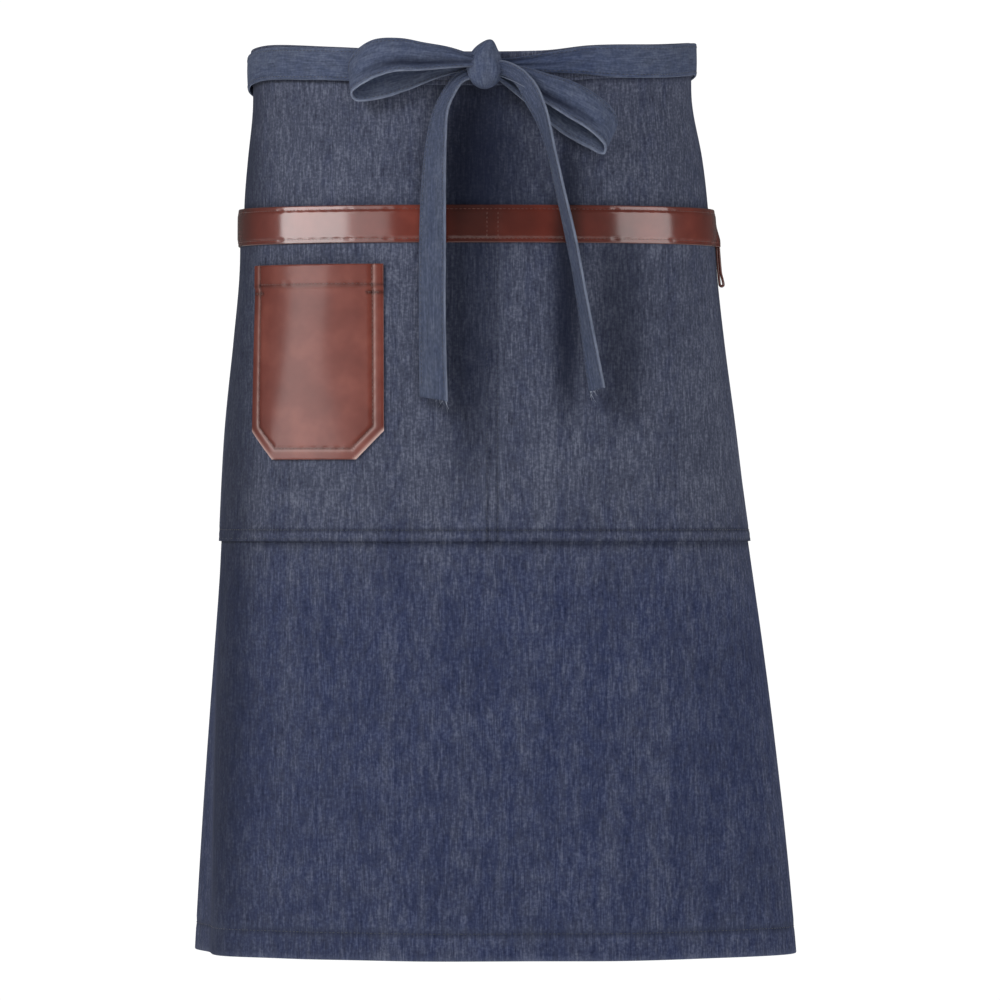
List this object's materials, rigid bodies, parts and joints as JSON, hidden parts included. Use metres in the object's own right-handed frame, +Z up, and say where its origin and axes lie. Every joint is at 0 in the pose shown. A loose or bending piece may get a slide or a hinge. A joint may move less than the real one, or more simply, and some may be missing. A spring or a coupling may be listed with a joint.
{
  "type": "waist apron",
  "caption": "Denim waist apron in its worn form, with a wide leather-trimmed patch pocket, a leather phone pocket and waist ties knotted in a bow at the front.",
  "frame": {"origin": "the middle of the waist, at the height of the middle of the waistband at the wearer's sides", "axes": "+Z up towards the head, the front of the apron faces -Y, +X is the right of the apron as seen from the front"},
  "size_m": [0.4692, 0.2745, 0.7085],
  "materials": {
    "denim": "matte indigo twill",
    "tie_denim": "matte indigo twill, worn a little lighter",
    "leather": "smooth waxed leather"
  },
  "bodies": {
    "root": {"skirt_panel": "denim", "waistband": "denim", "double_pocket": "denim", "pocket_trim": "leather", "towel_loop": "leather", "phone_pocket": "leather", "knot": "tie_denim", "tail_left": "tie_denim", "tail_right": "tie_denim", "bow_loop_left": "tie_denim", "bow_loop_right": "tie_denim", "tie_left": "tie_denim", "tie_right": "tie_denim"}
  },
  "joints": []
}
